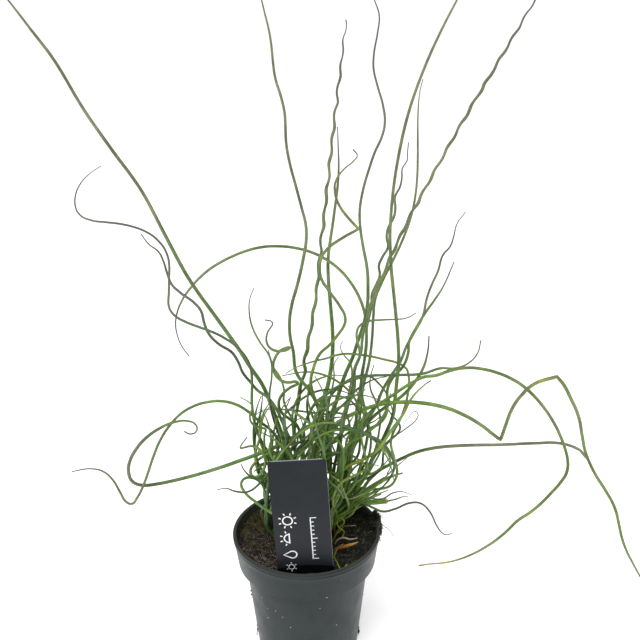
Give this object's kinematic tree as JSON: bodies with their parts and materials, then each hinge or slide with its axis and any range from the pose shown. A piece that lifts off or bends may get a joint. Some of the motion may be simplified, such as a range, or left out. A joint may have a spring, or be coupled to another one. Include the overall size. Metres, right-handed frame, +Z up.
{
  "type": "potted rush plant",
  "caption": "Corkscrew rush growing in a tapered plastic nursery pot: wiry leafless stems that coil, kink and arch out of dark soil, with a plain upright plant label at the front.",
  "frame": {"origin": "centre of the pot's flat base, on the surface it stands on", "axes": "+Z up, -Y towards the viewer and the plant label, +X to the viewer's right"},
  "size_m": [0.4949, 0.2379, 0.5444],
  "materials": {
    "pot_plastic": "satin dark grey moulded plastic",
    "potting_soil": "dark crumbly peat mix with fibres",
    "label_card": "satin dark slate plastic card with a darker foot band and plain white marks",
    "rush_stems": "smooth green stems, olive above, brown at the tips",
    "dry_sheath": "dry orange-brown leaf sheath",
    "dry_straw": "pale dry straw"
  },
  "bodies": {
    "root": {"pot": "pot_plastic", "soil": "potting_soil", "label": "label_card", "tuft_01": "rush_stems", "tuft_02": "rush_stems", "tuft_03": "rush_stems", "tuft_04": "rush_stems", "tuft_05": "rush_stems", "tuft_06": "rush_stems", "tuft_07": "rush_stems", "tuft_08": "rush_stems", "tuft_09": "rush_stems", "tuft_10": "rush_stems", "tuft_11": "rush_stems", "tuft_12": "rush_stems", "tuft_13": "rush_stems", "tuft_14": "rush_stems", "tuft_15": "rush_stems", "tuft_16": "rush_stems", "tuft_17": "rush_stems", "tuft_18": "rush_stems", "tuft_19": "rush_stems", "dry_sheath": "dry_sheath", "dry_straw": "dry_straw"}
  },
  "joints": []
}
